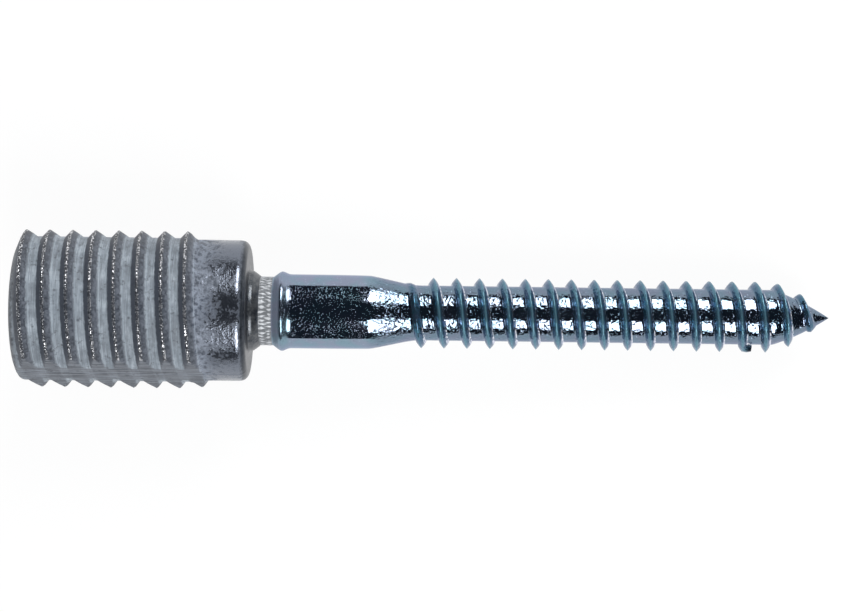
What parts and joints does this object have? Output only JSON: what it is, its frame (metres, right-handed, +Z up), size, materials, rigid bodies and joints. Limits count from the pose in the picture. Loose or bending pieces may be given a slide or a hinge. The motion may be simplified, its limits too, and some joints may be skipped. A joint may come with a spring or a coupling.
{
  "type": "frame screw",
  "caption": "Frame fixing screw: a coarse-threaded zinc head with a hexagonal socket, cast round a steel wood screw with knurled neck, collar, plain shank and gimlet point.",
  "frame": {"origin": "middle of the underside of the box round the screw as it lies at rest", "axes": "+X from the head to the point, level along the ground; +Z up; the axis of the screw dips towards the point by the resting tilt of about 4 degrees"},
  "size_m": [0.0884, 0.0172, 0.0183],
  "materials": {
    "zinc": "die-cast, satin",
    "plated_steel": "bright blue-passivated zinc plating"
  },
  "bodies": {
    "root": {"cast_head": "zinc", "wood_screw": "plated_steel"}
  },
  "joints": []
}
